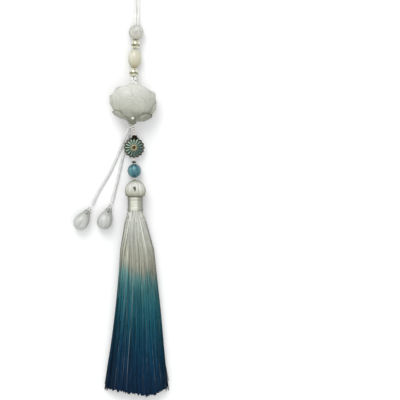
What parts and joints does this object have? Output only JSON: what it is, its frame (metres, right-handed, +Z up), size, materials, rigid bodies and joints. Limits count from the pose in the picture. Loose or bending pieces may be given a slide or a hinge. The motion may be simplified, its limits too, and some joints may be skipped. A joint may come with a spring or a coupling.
{
  "type": "beaded tassel pendant",
  "caption": "Flat-laid beaded pendant: a cord loop, strung beads, a carved lotus bead, a ribbed coin bead, hanging teardrop beads and a long silk tassel.",
  "frame": {"origin": "on the floor plane, on the lotus bead's flat rest spot", "axes": "+Z up from the floor the pendant lies on; +Y along the string towards the hanging loop; +X to the right seen from above; the tassel runs towards -Y"},
  "size_m": [0.0567, 0.2541, 0.0163],
  "materials": {
    "satin_cord": "white satin cord, fine twill sheen",
    "grey_agate": "polished translucent grey-white agate",
    "cream_shell": "polished cream-white stone with faint clouds",
    "blue_agate": "polished teal-blue agate with paler bands",
    "pale_metal": "polished pale metal",
    "milky_glass": "milky white carved and polished, slightly translucent",
    "seed_glass": "glossy white seed beads",
    "thread": "fine pale thread",
    "dark_bronze": "dark bronze patina",
    "green_enamel": "dark green glaze with pale green ribs",
    "silk": "silk floss, cream at the head, fading through grey to teal and deep blue at the hem",
    "wrap_silk": "glossy wound silk thread, off-white",
    "drop_cord": "pale grey-white twisted cord",
    "drop_agate": "polished translucent grey-white agate"
  },
  "bodies": {
    "root": {"loop_cord": "satin_cord", "string_left": "satin_cord", "string_right": "satin_cord", "lotus_knot": "satin_cord", "top_bead": "grey_agate", "oval_bead": "cream_shell", "blue_bead": "blue_agate", "spacer_bead_upper": "pale_metal", "spacer_bead_lower": "pale_metal", "lotus": "milky_glass", "lotus_seed": "seed_glass", "link_bead_1": "seed_glass", "link_bead_2": "seed_glass", "link_bead_3": "seed_glass", "link_bead_4": "seed_glass", "pink_bead": "seed_glass", "tassel_link_bead": "seed_glass", "stringing_thread": "thread", "drop_thread_a": "thread", "drop_thread_b": "thread", "collar": "dark_bronze", "coin_cap": "dark_bronze", "coin_bead": "green_enamel", "tassel": "silk", "tassel_wrap": "wrap_silk", "drop_knot": "drop_cord", "drop_cord_a": "drop_cord", "drop_cord_b": "drop_cord", "drop_end_knot_a": "drop_cord", "drop_end_knot_b": "drop_cord", "drop_bead_a": "drop_agate", "drop_bead_b": "drop_agate"}
  },
  "joints": []
}
